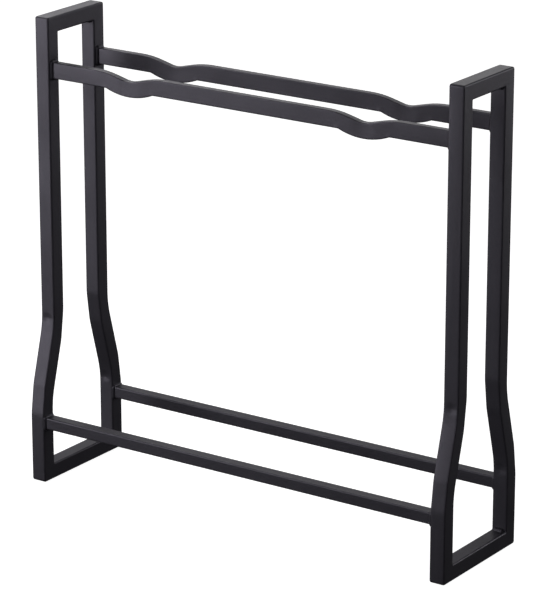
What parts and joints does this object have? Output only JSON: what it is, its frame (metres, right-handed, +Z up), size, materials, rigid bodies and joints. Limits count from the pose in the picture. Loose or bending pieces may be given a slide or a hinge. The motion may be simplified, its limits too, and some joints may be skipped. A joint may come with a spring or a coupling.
{
  "type": "firewood log rack",
  "caption": "Slim welded floor rack for firewood: side frames of square tube that widen to the feet, joined by dipped flat upper rails and square lower rails.",
  "frame": {"origin": "on the floor, at the centre of the footprint of the feet", "axes": "+X along the rails, from the left side frame to the right one; -Y is the front; +Z up"},
  "size_m": [0.6, 0.16, 0.585],
  "materials": {
    "frame_tube": "matte black powder coat with a fine sand texture",
    "rail_tube": "matte black powder coat with a fine sand texture",
    "weld_bead": "matte black powder coat over rippled weld beads"
  },
  "bodies": {
    "root": {"left_front_post": "frame_tube", "left_back_post": "frame_tube", "left_top_bar": "frame_tube", "left_bottom_bar": "frame_tube", "right_front_post": "frame_tube", "right_back_post": "frame_tube", "right_top_bar": "frame_tube", "right_bottom_bar": "frame_tube", "front_upper_rail": "rail_tube", "back_upper_rail": "rail_tube", "front_lower_rail": "rail_tube", "back_lower_rail": "rail_tube", "left_front_top_weld": "weld_bead", "left_front_foot_weld": "weld_bead", "left_front_upper_rail_weld": "weld_bead", "left_front_lower_rail_weld": "weld_bead", "left_back_top_weld": "weld_bead", "left_back_foot_weld": "weld_bead", "left_back_upper_rail_weld": "weld_bead", "left_back_lower_rail_weld": "weld_bead", "right_front_top_weld": "weld_bead", "right_front_foot_weld": "weld_bead", "right_front_upper_rail_weld": "weld_bead", "right_front_lower_rail_weld": "weld_bead", "right_back_top_weld": "weld_bead", "right_back_foot_weld": "weld_bead", "right_back_upper_rail_weld": "weld_bead", "right_back_lower_rail_weld": "weld_bead"}
  },
  "joints": []
}
